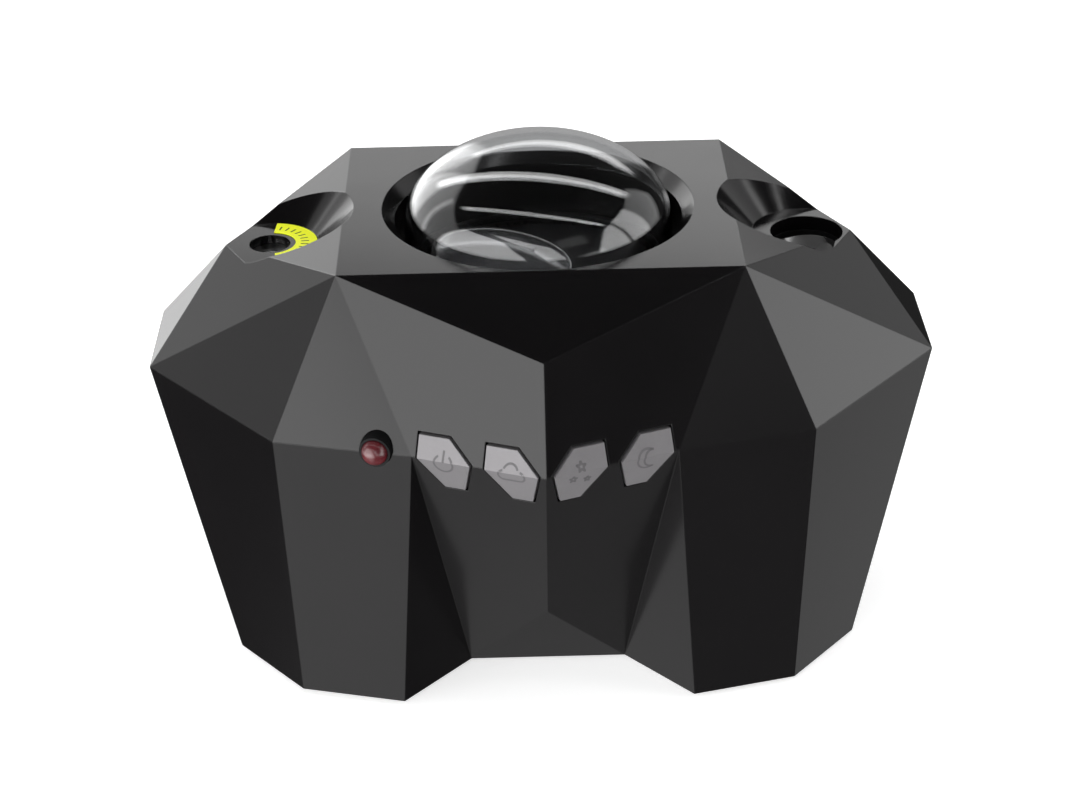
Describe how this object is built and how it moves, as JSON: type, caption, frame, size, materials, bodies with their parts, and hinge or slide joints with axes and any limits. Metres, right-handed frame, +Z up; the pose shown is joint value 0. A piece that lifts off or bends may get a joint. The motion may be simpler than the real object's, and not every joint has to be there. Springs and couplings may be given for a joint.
{
  "type": "planetarium projector",
  "caption": "Faceted table-top planetarium projector with a glass dome, a star outlet, a picture outlet, folded push buttons and a remote-control eye.",
  "frame": {"origin": "middle of the footprint at table height, under the rubber feet", "axes": "+X to the right, +Y to the back, +Z up; the buttons are on the front, -Y side"},
  "size_m": [0.16, 0.126, 0.1037],
  "materials": {
    "case_black": "semi-gloss moulded",
    "button_silver": "silver-grey lacquer",
    "inner_black": "matt moulded",
    "rubber": "matt",
    "dome_glass": "clear, polished",
    "lens_clear": "clear, moulded",
    "white_acetal": "satin",
    "steel": "bright zinc",
    "brass": "turned",
    "sink_aluminium": "extruded",
    "lamp_yellow": "phosphor",
    "board_green": "satin lacquer",
    "parts_black": "matt",
    "plunger_grey": "matt",
    "film": "dark film",
    "band_yellow": "printed",
    "eye_red": "dark red, polished"
  },
  "bodies": {
    "case": {"upper_shell": "case_black", "lower_shell": "case_black", "base_cover": "inner_black", "optics_cup": "inner_black", "clamp_ring": "inner_black", "lens_frame": "inner_black", "star_deck": "inner_black", "picture_barrel": "inner_black", "lens_ring": "inner_black", "lamp_tube": "inner_black", "eye_bezel": "inner_black", "rubber_feet": "rubber", "dome_gasket": "rubber", "glass_dome": "dome_glass", "view_lens": "lens_clear", "condenser_lens": "lens_clear", "front_lens": "lens_clear", "star_window": "lens_clear", "base_screws": "steel", "join_screws": "steel", "cup_screws": "steel", "lamp_screws": "steel", "motor_screws": "steel", "deck_screws": "steel", "board_screws": "steel", "disc_axle": "steel", "axle_clip": "steel", "disc_motor": "steel", "star_motor": "steel", "power_socket": "steel", "laser_module": "brass", "heat_sink": "sink_aluminium", "lamp_chips": "lamp_yellow", "main_board": "board_green", "lamp_board": "board_green", "picture_lamp": "board_green", "eye_board": "board_green", "key_board_left": "board_green", "key_board_right": "board_green", "board_parts": "parts_black", "key_switches": "parts_black", "picture_slide": "film", "aperture_band": "band_yellow", "infrared_eye": "eye_red"},
    "power_key": {"power_button": "button_silver", "power_plunger": "plunger_grey"},
    "cloud_key": {"cloud_button": "button_silver", "cloud_plunger": "plunger_grey"},
    "star_key": {"star_button": "button_silver", "star_plunger": "plunger_grey"},
    "moon_key": {"moon_button": "button_silver", "moon_plunger": "plunger_grey"},
    "disc": {"ripple_disc": "lens_clear", "disc_gear": "white_acetal"},
    "disc_drive": {"disc_pinion": "white_acetal", "disc_shaft": "steel"},
    "star_turner": {"star_wheel": "white_acetal", "star_film": "film"},
    "star_drive": {"star_pinion": "white_acetal", "star_shaft": "steel"}
  },
  "joints": [
    {"name": "power_press", "type": "slide", "parent": "case", "child": "power_key", "axis": [0.3651, 0.931, 0], "range_m": [0, 0.0007], "stiffness_N_per_m": 800, "springref_m": -0.0005},
    {"name": "cloud_press", "type": "slide", "parent": "case", "child": "cloud_key", "axis": [0.3651, 0.931, 0], "range_m": [0, 0.0007], "stiffness_N_per_m": 800, "springref_m": -0.0005},
    {"name": "star_press", "type": "slide", "parent": "case", "child": "star_key", "axis": [-0.3651, 0.931, 0], "range_m": [0, 0.0007], "stiffness_N_per_m": 800, "springref_m": -0.0005},
    {"name": "moon_press", "type": "slide", "parent": "case", "child": "moon_key", "axis": [-0.3651, 0.931, 0], "range_m": [0, 0.0007], "stiffness_N_per_m": 800, "springref_m": -0.0005},
    {"name": "disc_spin", "type": "hinge", "parent": "case", "child": "disc", "pos_m": [0, 0, 0.0677], "axis": [0, 0, 1], "continuous": true},
    {"name": "disc_drive_spin", "type": "hinge", "parent": "case", "child": "disc_drive", "pos_m": [0, 0.0296, 0.0677], "axis": [0, 0, 1], "continuous": true},
    {"name": "star_spin", "type": "hinge", "parent": "case", "child": "star_turner", "pos_m": [-0.055, 0, 0.0715], "axis": [0, 0, 1], "continuous": true},
    {"name": "star_drive_spin", "type": "hinge", "parent": "case", "child": "star_drive", "pos_m": [-0.055, 0.0136, 0.0715], "axis": [0, 0, 1], "continuous": true}
  ],
  "couplings": [
    {"joint": "disc_drive_spin", "follows": "disc_spin", "ratio": -6.4},
    {"joint": "star_drive_spin", "follows": "star_spin", "ratio": -2.4}
  ]
}
